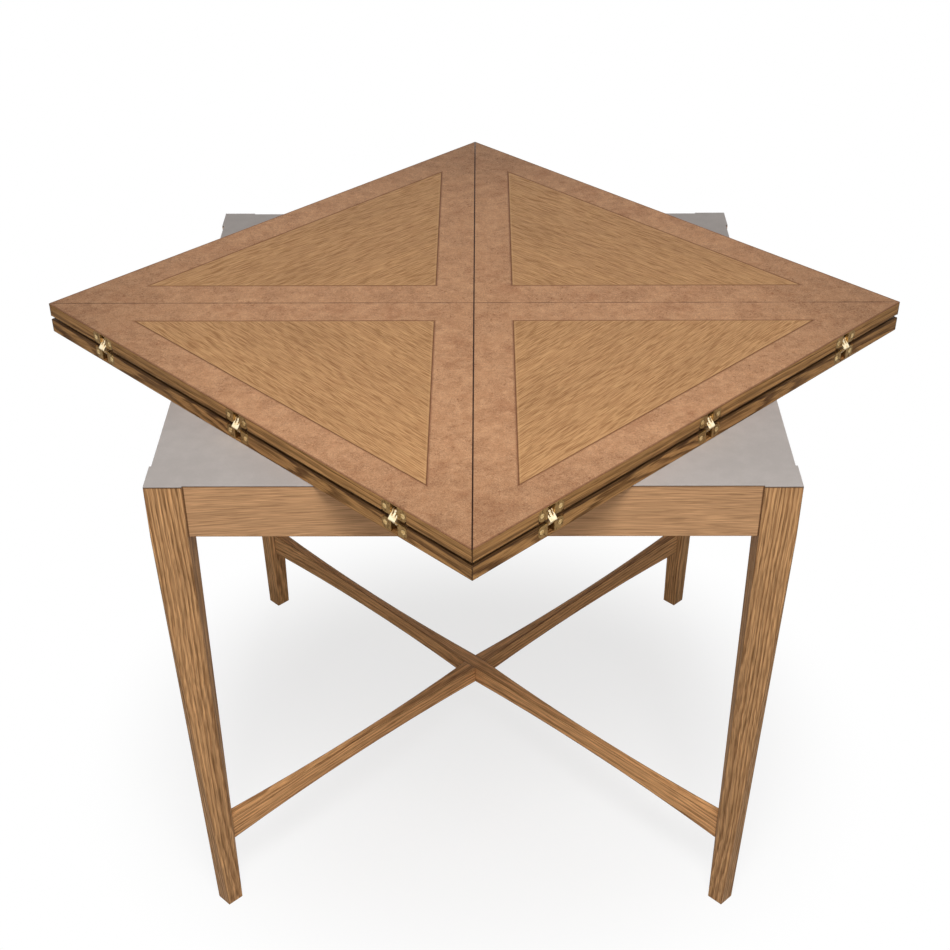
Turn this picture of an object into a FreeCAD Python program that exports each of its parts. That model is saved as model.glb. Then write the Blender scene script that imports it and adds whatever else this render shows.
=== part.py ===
"""Card table: a swivelling envelope top with four folding leaves on a four-legged base.

Millimetres, +Z up. The origin is on the floor under the middle of the base, the base stands square to
X and Y, and the front is towards -Y. At rest the top is turned 45 degrees and its leaves are folded in.
"""
import FreeCAD, Part
import Sketcher
import os
import re

Vector = FreeCAD.Vector
Rotation = FreeCAD.Rotation
Placement = FreeCAD.Placement
X_AXIS = Vector(1, 0, 0)
Y_AXIS = Vector(0, 1, 0)
Z_AXIS = Vector(0, 0, 1)

# Driving sizes, in mm. Each can be changed by itself.
SIZES = {
    # base
    "base_width": 752,
    "frame_height": 711.5,
    "leg_width": 44,
    "foot_half": 16.5,
    "apron_height": 69,
    "apron_thick": 20,
    "apron_inset": 2.5,
    "tenon_length": 20,
    "tenon_thick": 8,
    "tenon_margin": 12,
    "glue_gap": 0.1,
    "overrun": 1,
    "rebate_width": 8,
    "deck_thick": 12,
    "cover_thick": 1.5,
    "block_thick": 22,
    "block_height": 40,
    "coach_dia": 6,
    "coach_grip": 20,
    "coach_head_across": 10,
    "coach_head_height": 4,
    # crossed stretcher rails
    "rail_middle": 132.75,
    "rail_centre_width": 22,
    "rail_centre_height": 26.5,
    "rail_centre_flat": 26,
    "rail_waist": 10,
    "rail_end_width": 17,
    "rail_end_height": 37.5,
    "rail_waist_height": 25.5,
    "rail_tenon_length": 12,
    "rail_tenon_thick": 7,
    "rail_tenon_height": 20,
    # swivel
    "run_gap": 0.3,
    "pin_gap": 0.05,
    "stud_dia": 16,
    "flange_dia": 90,
    "flange_thick": 5,
    "flange_screw_circle": 66,
    "bush_dia": 24,
    "bush_flange_dia": 40,
    "washer_dia": 40,
    "washer_thick": 3,
    "nut_across": 24,
    "nut_height": 13,
    "stud_end": 2,
    "peg_dia": 8,
    "peg_radius": 120,
    "peg_rise": 5,
    # top
    "top_width": 787,
    "top_gap": 0.4,
    "board_thick": 18,
    "leaf_thick": 18,
    "leaf_gap": 4.1,
    "seam_half": 0.1,
    "edging_width": 14,
    "edge_ease": 1.0,
    "veneer_thick": 0.8,
    "border_width": 50,
    "scored_line": 0.8,
    "baize_inset": 40,
    "baize_thick": 1,
    # link hinges
    "hinge_pitch": 273,
    "pin_inset": 5.4,
    "pin_depth": 5.4,
    "pin_dia": 3,
    "knuckle_radius": 3.2,
    "link_width": 10.5,
    "link_bow": 4,
    "bow_flat": 1,
    "lug_thick": 1.6,
    "lug_offset": 2.5,
    "lug_radius": 3,
    "plate_length": 40,
    "plate_height": 15,
    "plate_thick": 2.5,
    "plate_drop": 1,
    "plate_corner": 6,
    "wall_thick": 1.5,
    "screw_pitch": 29,
    "screw_dia": 3,
    "screw_length": 11,
    "screw_head_dia": 6.2,
    "screw_head_depth": 1.6,
    "screw_slot": 0.8,
}

# Sizes that follow from the driving ones.
DERIVED = {
    "half_base": "base_width/2",
    "inner_leg": "half_base - leg_width",
    "apron_low": "frame_height - apron_height",
    "apron_face": "half_base - apron_inset",
    "apron_back": "apron_face - apron_thick",
    "tenon_face": "apron_face - (apron_thick - tenon_thick)/2",
    "tenon_low": "apron_low + tenon_margin",
    "tenon_height": "apron_height - 2*tenon_margin",
    "deck_low": "frame_height - deck_thick",
    "deck_half": "apron_back + rebate_width - glue_gap",
    "deck_notch": "inner_leg - glue_gap",
    "cover_top": "frame_height + cover_thick",
    "block_low": "deck_low - block_height",
    "coach_level": "deck_low - block_height/2",
    "coach_face": "inner_leg*sqrt(2) - block_thick",
    "rail_reach": "inner_leg*sqrt(2)",
    "rail_lean": "foot_half/sqrt(2)",
    "rail_end_top": "rail_middle + rail_end_height/2",
    "rail_end_low": "rail_middle - rail_end_height/2",
    "rail_mid_reach": "rail_reach + rail_lean*(1 - rail_middle/apron_low)",
    "rail_top_reach": "rail_reach + rail_lean*(1 - rail_end_top/apron_low)",
    "rail_low_reach": "rail_reach + rail_lean*(1 - rail_end_low/apron_low)",
    "board_low": "cover_top + top_gap",
    "board_top": "board_low + board_thick",
    "leaf_low": "board_top + leaf_gap",
    "leaf_top": "leaf_low + leaf_thick",
    "leaf_wood_top": "leaf_top - veneer_thick",
    "half_top": "top_width/2",
    "half_core": "half_top - edging_width",
    "half_baize": "half_top - baize_inset",
    "nut_top": "deck_low - run_gap - washer_thick",
    "stud_low": "nut_top - nut_height - stud_end",
    "link_pitch": "leaf_gap + 2*pin_depth",
    "pin_line": "half_top - pin_inset",
    "open_back": "knuckle_radius + run_gap",
    "open_half": "link_width/2 + run_gap",
    "pocket_back": "open_back + wall_thick",
    "pocket_half": "open_half + wall_thick",
}

doc = FreeCAD.newDocument("card_table")
sheet = doc.addObject("Spreadsheet::Sheet", "size")
for row, (alias, number) in enumerate(SIZES.items(), start=1):
    sheet.set("A%d" % row, alias)
    sheet.set("B%d" % row, str(number))
    sheet.setAlias("B%d" % row, alias)
doc.recompute()


def full(text):
    """Write an expression out in the cells of the sheet."""
    def one(match):
        word = match.group(0)
        if word in DERIVED:
            return "(" + full(DERIVED[word]) + ")"
        return "size." + word if word in SIZES else word
    return re.sub(r"[A-Za-z_][A-Za-z_0-9]*", one, str(text))


def value(text):
    """The present value of an expression."""
    return float(sheet.evalExpression(full(text)))


def minus(text):
    return "-(%s)" % text


def bind(thing, **sizes):
    """Tie properties of an object to expressions."""
    for name, text in sizes.items():
        thing.setExpression(name, full(text))
    return thing


def place(thing, x="0", y="0", z="0", axis=Z_AXIS, angle=0):
    """Turn an object, then tie its position to expressions."""
    thing.Placement = Placement(Vector(value(x), value(y), value(z)), Rotation(axis, angle))
    for name, text in (("x", x), ("y", y), ("z", z)):
        thing.setExpression("Placement.Base." + name, full(text))
    return thing


def box(name, x, y, z):
    """A block between two values on each axis."""
    block = doc.addObject("Part::Box", name)
    bind(block, Length="(%s) - (%s)" % (x[1], x[0]), Width="(%s) - (%s)" % (y[1], y[0]))
    bind(block, Height="(%s) - (%s)" % (z[1], z[0]))
    return place(block, x[0], y[0], z[0])


def cylinder(name, radius, height, x="0", y="0", z="0", axis=Z_AXIS, angle=0, sector=360):
    rod = doc.addObject("Part::Cylinder", name)
    bind(rod, Radius=radius, Height=height)
    rod.Angle = sector
    return place(rod, x, y, z, axis, angle)


def cone(name, low_radius, high_radius, height, x="0", y="0", z="0", axis=Z_AXIS, angle=0):
    taper = doc.addObject("Part::Cone", name)
    bind(taper, Radius1=low_radius, Radius2=high_radius, Height=height)
    return place(taper, x, y, z, axis, angle)


def hexagon(name, across, height, x="0", z="0", axis=Z_AXIS, angle=0):
    bar = doc.addObject("Part::Prism", name)
    bar.Polygon = 6
    bind(bar, Circumradius="(%s)/sqrt(3)" % across, Height=height)
    return place(bar, x, "0", z, axis, angle)


def frustum(name, low_x, low_y, high_x, high_y, height):
    """A four-sided taper that stands on Z = 0, given by its extents at the foot and at the top."""
    taper = doc.addObject("Part::Wedge", name)
    bind(taper, Xmin=low_x[0], Xmax=low_x[1], X2min=high_x[0], X2max=high_x[1])
    bind(taper, Zmin=minus(low_y[1]), Zmax=minus(low_y[0]), Z2min=minus(high_y[1]), Z2max=minus(high_y[0]))
    bind(taper, Ymin="0", Ymax=height)
    taper.Placement = Placement(Vector(0, 0, 0), Rotation(X_AXIS, 90))
    return taper


def rounded_bar(name, reach, y, z, corner):
    """A flat bar along X, as long to each side as its reach, with four rounded corners."""
    inner = "%s - %s" % (reach, corner)
    low = "%s + %s" % (z[0], corner)
    high = "%s - %s" % (z[1], corner)
    pieces = [box(name + "_long", (minus(reach), reach), y, (low, high)),
              box(name + "_tall", (minus(inner), inner), y, z)]
    rounds = [(x, level) for x in (inner, minus(inner)) for level in (low, high)]
    for number, (x, level) in enumerate(rounds):
        pieces.append(cylinder("%s_round_%d" % (name, number), corner, "(%s) - (%s)" % (y[1], y[0]),
                               x=x, y=y[0], z=level, axis=X_AXIS, angle=-90))
    return fuse(name, pieces)


def fuse(name, pieces):
    joined = doc.addObject("Part::MultiFuse", name)
    joined.Shapes = pieces
    joined.Refine = True
    return joined


def cut(name, piece, tools):
    result = doc.addObject("Part::Cut", name)
    result.Base = piece
    result.Tool = tools[0] if len(tools) == 1 else group(name + "_cutters", tools)
    return result


def common(name, first, second):
    result = doc.addObject("Part::Common", name)
    result.Base = first
    result.Tool = second
    return result


def group(name, pieces):
    """Several separate solids as one object."""
    bundle = doc.addObject("Part::Compound", name)
    bundle.Links = pieces
    return bundle


def copy(name, piece, x="0", y="0", z="0", axis=Z_AXIS, angle=0):
    """The same piece again in another place."""
    again = doc.addObject("App::Link", name)
    again.LinkedObject = piece
    return place(again, x, y, z, axis, angle)


def row_of(name, piece, **where):
    """One piece at each of the three hinges of a side."""
    pitches = (minus("hinge_pitch"), "0", "hinge_pitch")
    return [copy("%s_%d" % (name, number), piece, x=pitch, **where) for number, pitch in enumerate(pitches)]


def turned(name, piece, angle):
    """A finished piece of one side, turned about the middle of the table."""
    return place(group(name, [piece]), angle=angle)


def arc_middle(start, end, sag):
    """The point half way along a shallow arc that bows to the left of its chord."""
    chord = end - start
    aside = Vector(-chord.y, chord.x, 0)
    aside.normalize()
    return (start + end)*0.5 + aside*sag


def outline(body, name, corners, bows, plane):
    """A closed sketch of lines and arcs with every corner tied to the sheet."""
    sketch = body.newObject("Sketcher::SketchObject", name)
    origin_plane = [part for part in body.Origin.OriginFeatures if part.Role == plane][0]
    sketch.AttachmentSupport = (origin_plane, [""])
    sketch.MapMode = "FlatFace"
    points = [Vector(value(x), value(y), 0) for x, y in corners]
    total = len(points)
    firsts = []
    for number, start in enumerate(points):
        end = points[(number + 1) % total]
        if number in bows:
            middle = arc_middle(start, end, value(bows[number]))
            edge = sketch.addGeometry(Part.Arc(start, middle, end), False)
        else:
            edge = sketch.addGeometry(Part.LineSegment(start, end), False)
        ahead = (sketch.getPoint(edge, 1) - start).Length < 1e-6
        firsts.append((1, 2) if ahead else (2, 1))
    for number in range(total):
        after = (number + 1) % total
        sketch.addConstraint(Sketcher.Constraint(
            "Coincident", number, firsts[number][1], after, firsts[after][0]))
    for number, (x, y) in enumerate(corners):
        for kind, axis, text in (("DistanceX", -2, x), ("DistanceY", -1, y)):
            if text == "0":
                sketch.addConstraint(Sketcher.Constraint("PointOnObject", number, firsts[number][0], axis))
                continue
            index = sketch.addConstraint(Sketcher.Constraint(
                kind, number, firsts[number][0], value(text)))
            sketch.renameConstraint(index, "%s%d" % (kind, number))
            sketch.setExpression("Constraints.%s%d" % (kind, number), full(text))
    for number, sag in bows.items():
        (x0, y0), (x1, y1) = corners[number], corners[(number + 1) % total]
        chord = "((%s) - (%s))^2 + ((%s) - (%s))^2" % (x1, x0, y1, y0)
        radius = "((%s)/4 + (%s)^2)/(2*(%s))" % (chord, sag, sag)
        index = sketch.addConstraint(Sketcher.Constraint("Radius", number, value(radius)))
        sketch.renameConstraint(index, "Bow%d" % number)
        sketch.setExpression("Constraints.Bow%d" % number, full(radius))
    return sketch


def prism(name, corners, low, high, bows=None):
    """A flat outline padded between two heights."""
    body = doc.addObject("PartDesign::Body", name)
    sketch = outline(body, name + "_outline", corners, bows or {}, "XY_Plane")
    sketch.setExpression("AttachmentOffset.Base.z", full(low))
    pad = body.newObject("PartDesign::Pad", name + "_pad")
    pad.Profile = sketch
    bind(pad, Length="(%s) - (%s)" % (high, low))
    body.Tip = pad
    return body


def quarter_turn(corners):
    """The same outline a quarter turn further round."""
    return [(minus(y) if y != "0" else "0", x) for x, y in corners]


CORNER_ANGLES = {"front_left": 0, "front_right": 90, "rear_right": 180, "rear_left": 270}
SIDE_ANGLES = {"front": 0, "right": 90, "rear": 180, "left": 270}
TOP_ANGLE = 45
LEAF_ANGLES = {"front_left": -45, "front_right": 45, "rear_right": 135, "rear_left": 225}
ALONG_PIN = {"axis": Y_AXIS, "angle": 90}
nodes = []


def keep(piece, label):
    """Name a finished sub-part."""
    piece.Label = label
    nodes.append(piece)
    return piece


# Leg at the front left corner. Its block is square beside the aprons. Below them the shaft tapers on its
# two outer sides and turns into a square set cornerwise, so it is the common part of two tapers.
leg_block = box("leg_block", (minus("half_base"), minus("inner_leg")),
                (minus("half_base"), minus("inner_leg")), ("apron_low", "frame_height"))
foot_out = minus("inner_leg + 2*foot_half")
foot_span = (foot_out, minus("inner_leg"))
block_span = (minus("half_base"), minus("inner_leg"))
straight_taper = frustum("leg_straight_taper", foot_span, foot_span, block_span, block_span, "apron_low")
foot_centre = "(inner_leg + foot_half)*sqrt(2)"
block_centre = "(inner_leg + leg_width/2)*sqrt(2)"
foot_edge = "foot_half/sqrt(2)"
block_edge = "leg_width/sqrt(2)"
corner_taper = frustum("leg_corner_taper",
                       (minus(foot_centre + " + " + foot_edge), minus(foot_centre + " - " + foot_edge)),
                       (minus(foot_edge), foot_edge),
                       (minus(block_centre + " + " + block_edge), minus(block_centre + " - " + block_edge)),
                       (minus(block_edge), block_edge), "apron_low")
corner_taper.Placement = Placement(Vector(0, 0, 0), Rotation(Z_AXIS, 45)*Rotation(X_AXIS, 90))
leg_shaft = common("leg_shaft", straight_taper, corner_taper)
leg_solid = fuse("leg_solid", [leg_block, leg_shaft])

mortise_in = (minus("inner_leg + tenon_length + glue_gap"), minus("inner_leg - overrun"))
mortise_side = (minus("tenon_face + glue_gap"), minus("tenon_face - tenon_thick - glue_gap"))
mortise_up = ("tenon_low - glue_gap", "tenon_low + tenon_height + glue_gap")
mortise_x = box("mortise_x", mortise_in, mortise_side, mortise_up)
mortise_y = box("mortise_y", mortise_side, mortise_in, mortise_up)
rail_mortise = box("rail_mortise",
                   (minus("rail_mid_reach + rail_tenon_length + glue_gap"), minus("rail_reach - overrun")),
                   ("-rail_tenon_thick/2 - glue_gap", "rail_tenon_thick/2 + glue_gap"),
                   ("rail_middle - rail_tenon_height/2 - glue_gap",
                    "rail_middle + rail_tenon_height/2 + glue_gap"))
rail_mortise_turned = turned("rail_mortise_turned", rail_mortise, 45)
pilot = cylinder("coach_pilot", "coach_dia/2 + glue_gap", "coach_grip + block_thick + overrun",
                 x=minus("coach_face - overrun"), z="coach_level", axis=Y_AXIS, angle=-90)
pilot_turned = turned("coach_pilot_turned", pilot, 45)
leg = cut("leg", leg_solid, [mortise_x, mortise_y, rail_mortise_turned, pilot_turned])
for corner, angle in CORNER_ANGLES.items():
    keep(turned("leg_" + corner, leg, angle), "leg_" + corner)

# Front apron with its two tenons, rebated on the inside for the deck.
apron_bar = box("apron_bar", (minus("inner_leg"), "inner_leg"), (minus("apron_face"), minus("apron_back")),
                ("apron_low", "frame_height"))
apron_tenon = box("apron_tenon", (minus("inner_leg + tenon_length"), "inner_leg + tenon_length"),
                  (minus("tenon_face"), minus("tenon_face - tenon_thick")),
                  ("tenon_low", "tenon_low + tenon_height"))
apron_solid = fuse("apron_solid", [apron_bar, apron_tenon])
apron_rebate = box("apron_rebate", (minus("half_base"), "half_base"),
                   (minus("apron_back + rebate_width"), minus("apron_back - overrun")),
                   ("deck_low", "frame_height + overrun"))
apron = cut("apron", apron_solid, [apron_rebate])
for side, angle in SIDE_ANGLES.items():
    keep(turned("apron_" + side, apron, angle), "apron_" + side)

# Crossed stretcher rails: waisted in plan and in elevation, lapped half and half at the centre.
flat = "rail_centre_flat/2"
plan_reach = "rail_low_reach + 2*overrun"
plan_waist = "(rail_centre_width + rail_end_width)/4 - rail_waist/2"
side_waist = "(rail_centre_height + rail_end_height)/4 - rail_waist_height/2"
centre_low = "rail_middle - rail_centre_height/2"
centre_top = "rail_middle + rail_centre_height/2"
WAISTED_SIDES = (0, 2, 4, 6)
rail_plan = prism("rail_plan", [
    (minus(plan_reach), "-rail_end_width/2"), (minus(flat), "-rail_centre_width/2"),
    (flat, "-rail_centre_width/2"), (plan_reach, "-rail_end_width/2"),
    (plan_reach, "rail_end_width/2"), (flat, "rail_centre_width/2"),
    (minus(flat), "rail_centre_width/2"), (minus(plan_reach), "rail_end_width/2"),
], "rail_end_low - overrun", "rail_end_top + overrun", {edge: plan_waist for edge in WAISTED_SIDES})
rail_side = doc.addObject("PartDesign::Body", "rail_side")
rail_side_outline = outline(rail_side, "rail_side_outline", [
    (minus("rail_low_reach"), "rail_end_low"), (minus(flat), centre_low),
    (flat, centre_low), ("rail_low_reach", "rail_end_low"),
    ("rail_top_reach", "rail_end_top"), (flat, centre_top),
    (minus(flat), centre_top), (minus("rail_top_reach"), "rail_end_top"),
], {edge: side_waist for edge in WAISTED_SIDES}, "XZ_Plane")
rail_side_pad = rail_side.newObject("PartDesign::Pad", "rail_side_pad")
rail_side_pad.Profile = rail_side_outline
rail_side_pad.SideType = "Symmetric"
bind(rail_side_pad, Length="2*(rail_centre_width + rail_end_width)")
rail_side.Tip = rail_side_pad
rail_bar = common("rail_bar", rail_plan, rail_side)
tenon_reach = "rail_mid_reach + rail_tenon_length"
rail_tenons = box("rail_tenons", (minus(tenon_reach), tenon_reach),
                  ("-rail_tenon_thick/2", "rail_tenon_thick/2"),
                  ("rail_middle - rail_tenon_height/2", "rail_middle + rail_tenon_height/2"))
rail_solid = fuse("rail_solid", [rail_bar, rail_tenons])
lap_x = ("-rail_centre_width/2 - glue_gap", "rail_centre_width/2 + glue_gap")
lap_y = ("-rail_centre_width", "rail_centre_width")
lap_upper = box("lap_upper", lap_x, lap_y, ("rail_middle", "rail_end_top"))
lap_lower = box("lap_lower", lap_x, lap_y, ("rail_end_low", "rail_middle"))
rail_lower = cut("rail_lower", rail_solid, [lap_upper])
rail_upper = cut("rail_upper", rail_solid, [lap_lower])
keep(turned("stretcher_rail_lower", rail_lower, 45), "stretcher_rail_lower")
keep(turned("stretcher_rail_upper", rail_upper, -45), "stretcher_rail_upper")

# Deck let into the aprons, notched round the legs, and the cloth over the whole base.
deck_long = box("deck_long", (minus("deck_half"), "deck_half"), (minus("deck_notch"), "deck_notch"),
                ("deck_low", "frame_height"))
deck_wide = box("deck_wide", (minus("deck_notch"), "deck_notch"), (minus("deck_half"), "deck_half"),
                ("deck_low", "frame_height"))
deck_solid = fuse("deck_solid", [deck_long, deck_wide])
bush_hole = cylinder("bush_hole", "bush_dia/2 + glue_gap", "deck_thick + 2*overrun", z="deck_low - overrun")
peg_hole = cylinder("peg_hole", "peg_dia/2 + glue_gap", "deck_thick + cover_thick + 2*overrun",
                    y="-peg_radius", z="deck_low - overrun")
keep(cut("deck", deck_solid, [bush_hole, peg_hole]), "deck")

cover_side = [
    (minus("half_base"), minus("half_base")), (minus("inner_leg"), minus("half_base")),
    (minus("inner_leg"), minus("apron_face")), ("inner_leg", minus("apron_face")),
    ("inner_leg", minus("half_base")),
]
cover_corners = []
for quarter in range(4):
    cover_corners += cover_side
    cover_side = quarter_turn(cover_side)
cover_sheet = prism("cover_sheet", cover_corners, "frame_height", "cover_top")
flange_hole = cylinder("bush_flange_hole", "bush_flange_dia/2 + glue_gap", "cover_thick + 2*overrun",
                       z="frame_height - overrun")
keep(cut("base_cover", cover_sheet, [flange_hole, peg_hole]), "base_cover")

# Corner blocks under the deck, each held to its leg with a coach screw.
block_tip = "2*inner_leg - apron_back"
block_heel = "2*inner_leg - block_thick*sqrt(2) - apron_back"
block_solid = prism("block_solid", [
    (minus("apron_back"), minus(block_tip)), (minus(block_tip), minus("apron_back")),
    (minus(block_heel), minus("apron_back")), (minus("apron_back"), minus(block_heel)),
], "block_low", "deck_low")
block = cut("block", block_solid, [pilot_turned])
blocks = [copy("block_" + corner, block, angle=angle) for corner, angle in CORNER_ANGLES.items()]
keep(group("corner_blocks", blocks), "corner_blocks")
coach_shank = cylinder("coach_shank", "coach_dia/2", "block_thick + coach_grip", x=minus("coach_face"),
                       z="coach_level", axis=Y_AXIS, angle=-90)
coach_head = hexagon("coach_head", "coach_head_across", "coach_head_height", x=minus("coach_face"),
                     z="coach_level", axis=Y_AXIS, angle=90)
coach = fuse("coach", [coach_shank, coach_head])
coaches = [copy("coach_" + corner, coach, angle=angle + 45) for corner, angle in CORNER_ANGLES.items()]
keep(group("corner_screws", coaches), "corner_screws")

# Swivel: a flanged bush in the deck, and a stud with its flange, washer and nut that turn with the top.
bush_body = cylinder("bush_body", "bush_dia/2", "deck_thick", z="deck_low")
bush_flange = cylinder("bush_flange", "bush_flange_dia/2", "board_low - run_gap - frame_height",
                       z="frame_height")
bush_solid = fuse("bush_solid", [bush_body, bush_flange])
bush_bore = cylinder("bush_bore", "stud_dia/2 + pin_gap", "board_low + 2*overrun - deck_low",
                     z="deck_low - overrun")
keep(cut("pivot_bush", bush_solid, [bush_bore]), "pivot_bush")
stop_peg = cylinder("stop_peg", "peg_dia/2", "board_low + peg_rise - deck_low", y="-peg_radius",
                    z="deck_low")
keep(stop_peg, "stop_peg")

# Countersunk wood screw that points up, and the hole that takes it.
screw_shank = cylinder("screw_shank", "screw_dia/2", "screw_length")
screw_head = cone("screw_head", "screw_head_dia/2", "screw_dia/2", "screw_head_depth")
screw_solid = fuse("screw_solid", [screw_shank, screw_head])
screw_slot = box("screw_drive", ("-screw_head_dia", "screw_head_dia"), ("-screw_slot/2", "screw_slot/2"),
                 ("-overrun", "screw_head_depth/2"))
screw = cut("screw", screw_solid, [screw_slot])
hole_shank = cylinder("screw_hole_shank", "screw_dia/2 + glue_gap", "screw_length + glue_gap")
hole_head = cone("screw_hole_head", "screw_head_dia/2 + glue_gap", "screw_dia/2 + glue_gap",
                 "screw_head_depth")
screw_hole = fuse("screw_hole", [hole_shank, hole_head])


def flange_screws(name, piece):
    """Four copies on the screw circle of the swivel flange."""
    ring = "flange_screw_circle/2"
    spots = ((ring, "0"), ("0", ring), (minus(ring), "0"), ("0", minus(ring)))
    return [copy("%s_%d" % (name, number), piece, x=x, y=y, z="board_low")
            for number, (x, y) in enumerate(spots)]


flange_holes = group("flange_holes", flange_screws("flange_hole", screw_hole))
flange_disc = cylinder("flange_disc", "flange_dia/2", "flange_thick", z="board_low")
stud_rod = cylinder("stud_rod", "stud_dia/2", "board_low + flange_thick/2 - stud_low", z="stud_low")
stud_solid = fuse("stud_solid", [flange_disc, stud_rod])
stud = cut("stud", stud_solid, [flange_holes])
keep(turned("pivot_stud", stud, TOP_ANGLE), "pivot_stud")
flange_screw_set = group("flange_screw_set", flange_screws("flange_screw", screw))
keep(turned("pivot_screws", flange_screw_set, TOP_ANGLE), "pivot_screws")
clear_bore = cylinder("nut_bore", "stud_dia/2 + glue_gap", "nut_height + washer_thick + 2*overrun",
                      z="nut_top - nut_height - overrun")
washer_disc = cylinder("washer_disc", "washer_dia/2", "washer_thick", z="nut_top")
keep(cut("pivot_washer", washer_disc, [clear_bore]), "pivot_washer")
nut_solid = hexagon("nut_solid", "nut_across", "nut_height", z="nut_top - nut_height")
keep(cut("pivot_nut", nut_solid, [clear_bore]), "pivot_nut")

# Hinge plate, drawn round its pin at the origin: the edge face is towards -Y, the mating face towards +Z.
edge_at = minus("pin_inset")
plate_top = "pin_depth - plate_drop"
screw_level = "pin_depth - plate_drop - plate_height/2"
plate_low = plate_top + " - plate_height"
plate_bar = rounded_bar("plate_bar", "plate_length/2", (edge_at, "plate_thick - pin_inset"),
                        (plate_low, plate_top), "plate_corner")
plate_pocket = box("plate_pocket", (minus("pocket_half"), "pocket_half"), (edge_at, "pocket_back"),
                   (plate_low, plate_top))
plate_blank = fuse("plate_blank", [plate_bar, plate_pocket])
plate_opening = box("plate_opening", (minus("open_half"), "open_half"),
                    ("-pin_inset - overrun", "open_back"),
                    (plate_low + " - overrun", plate_top + " + overrun"))
plate_pieces = [cut("plate_shell", plate_blank, [plate_opening])]
for hand, start in (("left", "-lug_offset - lug_thick/2"), ("right", "lug_offset - lug_thick/2")):
    plate_pieces.append(box("lug_arm_" + hand, (start, start + " + lug_thick"),
                            ("0", "open_back + wall_thick/2"), (minus("lug_radius"), "lug_radius")))
    plate_pieces.append(cylinder("lug_eye_" + hand, "lug_radius", "lug_thick", x=start, **ALONG_PIN))
plate_solid = fuse("plate_solid", plate_pieces)
pin_bore = cylinder("pin_bore", "pin_dia/2 + pin_gap", "link_width + 2*overrun", x="-link_width/2 - overrun",
                    **ALONG_PIN)


def at_screws(name, piece):
    """Two copies that point into the wood from the face of a hinge plate."""
    spots = (("left", "-screw_pitch/2"), ("right", "screw_pitch/2"))
    return [copy("%s_%s" % (name, hand), piece, x=where, y=edge_at, z=screw_level, axis=X_AXIS, angle=-90)
            for hand, where in spots]


plate = cut("plate", plate_solid, [pin_bore] + at_screws("plate_hole", screw_hole))
plate_screws = group("plate_screws", at_screws("plate_screw", screw))

# The recess in the wood for one plate, its knuckle and its screws.
recess_bar = rounded_bar("recess_bar", "plate_length/2 + glue_gap",
                         ("-pin_inset - overrun", "plate_thick - pin_inset + glue_gap"),
                         (plate_low + " - glue_gap", "pin_depth + plate_corner + overrun"),
                         "(plate_corner + glue_gap)")
recess_pocket = box("recess_pocket", (minus("pocket_half + glue_gap"), "pocket_half + glue_gap"),
                    ("-pin_inset - overrun", "pocket_back + glue_gap"),
                    (plate_low + " - glue_gap", "pin_depth + overrun"))
recess = fuse("recess", [recess_bar, recess_pocket] + at_screws("recess_hole", hole_shank))

# Link with three fingers at each end, bowed out of the edge between them, and its two pins.
link_bar = box("link_bar", ("-link_width/2", "link_width/2"), ("-knuckle_radius", "knuckle_radius"),
               ("0", "link_pitch"))


def at_pins(name, radius, overhang):
    """Two cylinders along the two pins of a link, longer than the link by the overhang at each end."""
    return [cylinder("%s_%d" % (name, number), radius, "link_width + 2*" + overhang,
                     x="-link_width/2 - " + overhang, z=level, **ALONG_PIN)
            for number, level in enumerate(("0", "link_pitch"))]


link_ends = at_pins("link_end", "knuckle_radius", "0")
bow_crest = minus("pin_inset + link_bow")
bow_bar = prism("bow_bar", [
    ("0", "0"), ("0", minus("knuckle_radius")), (minus("(link_pitch - bow_flat)/2"), bow_crest),
    (minus("(link_pitch + bow_flat)/2"), bow_crest), (minus("link_pitch"), minus("knuckle_radius")),
    (minus("link_pitch"), "0"),
], "-link_width/2", "link_width/2")
link_bowed = copy("link_bowed", bow_bar, axis=Y_AXIS, angle=90)
link_solid = fuse("link_solid", [link_bar, link_bowed] + link_ends)
slot_depth = "lug_radius + run_gap"
link_slots = []
for hand, middle in (("left", "-lug_offset"), ("right", "lug_offset")):
    across = (middle + " - lug_thick/2 - run_gap", middle + " + lug_thick/2 + run_gap")
    along = (bow_crest + " - overrun", "knuckle_radius + overrun")
    link_slots.append(box("link_slot_low_" + hand, across, along, ("-knuckle_radius - overrun", slot_depth)))
    link_slots.append(box("link_slot_high_" + hand, across, along,
                          ("link_pitch - (%s)" % slot_depth, "link_pitch + knuckle_radius + overrun")))
link = cut("link", link_solid, link_slots + at_pins("link_bore", "pin_dia/2 + pin_gap", "overrun"))
link_set = group("link_set", [link] + at_pins("link_pin", "pin_dia/2", "0"))

# One side of the top, drawn with its outer edge towards the front.
at_board = {"y": minus("pin_line"), "z": "board_top - pin_depth"}
at_leaf = {"y": minus("pin_line"), "z": "leaf_low + pin_depth", "axis": Y_AXIS, "angle": 180}
board_plates = group("board_plates", row_of("board_plate", plate, **at_board))
board_screws = group("board_screws", row_of("board_screw", plate_screws, **at_board))
board_recesses = row_of("board_recess", recess, **at_board)
leaf_plates = group("leaf_plates", row_of("leaf_plate", plate, **at_leaf))
leaf_screws = group("leaf_screws", row_of("leaf_screw", plate_screws, **at_leaf))
leaf_recesses = row_of("leaf_recess", recess, **at_leaf)
links = group("links", row_of("link", link_set, **at_board))


def on_line(point, y, z):
    return abs(point.Y - y) < 1e-4 and abs(point.Z - z) < 1e-4


def eased(name, piece, y, z):
    """Round the long edge that lies at the given depth and height."""
    doc.recompute()
    ease = value("edge_ease")
    rounded = doc.addObject("Part::Fillet", name)
    rounded.Base = piece
    rounded.Edges = [(number, ease, ease) for number, edge in enumerate(piece.Shape.Edges, start=1)
                     if all(on_line(point, value(y), value(z)) for point in edge.Vertexes)]
    return rounded


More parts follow.
